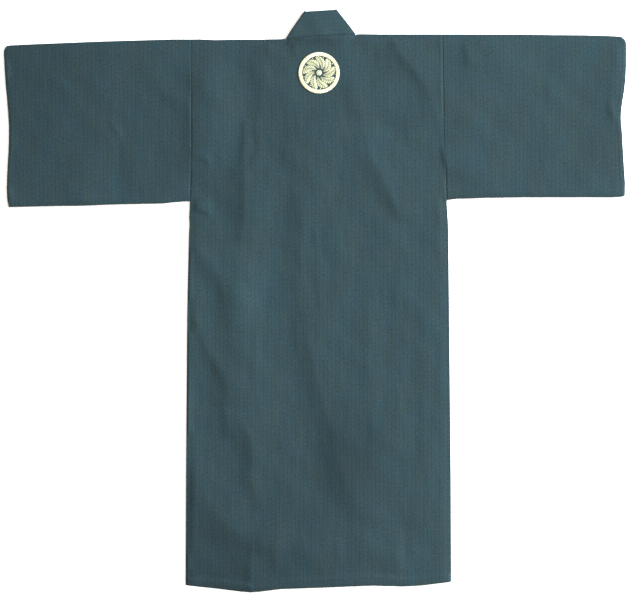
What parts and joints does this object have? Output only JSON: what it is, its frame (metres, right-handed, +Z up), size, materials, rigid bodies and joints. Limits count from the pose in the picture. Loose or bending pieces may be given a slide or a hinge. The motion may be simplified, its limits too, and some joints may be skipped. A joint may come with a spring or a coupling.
{
  "type": "yukata",
  "caption": "Man's cotton yukata laid flat, face down, its back on top, with square sleeves, a turned collar band and a round embroidered patch between the shoulders.",
  "frame": {"origin": "on the surface that the garment lies on, under the middle of its outline", "axes": "+X runs across the back from the left sleeve to the right one, +Y from the hem to the collar, +Z up from the surface, out of the back's cloth"},
  "size_m": [1.4924, 1.3974, 0.0106],
  "materials": {
    "striped_cloth": "matt cotton with a fine stripe",
    "embroidery": "satin stitch with a silky sheen on ribbed ground"
  },
  "bodies": {
    "root": {"body": "striped_cloth", "overlap_left": "striped_cloth", "overlap_right": "striped_cloth", "sleeve_left": "striped_cloth", "sleeve_right": "striped_cloth", "collar": "striped_cloth", "patch": "embroidery"}
  },
  "joints": []
}
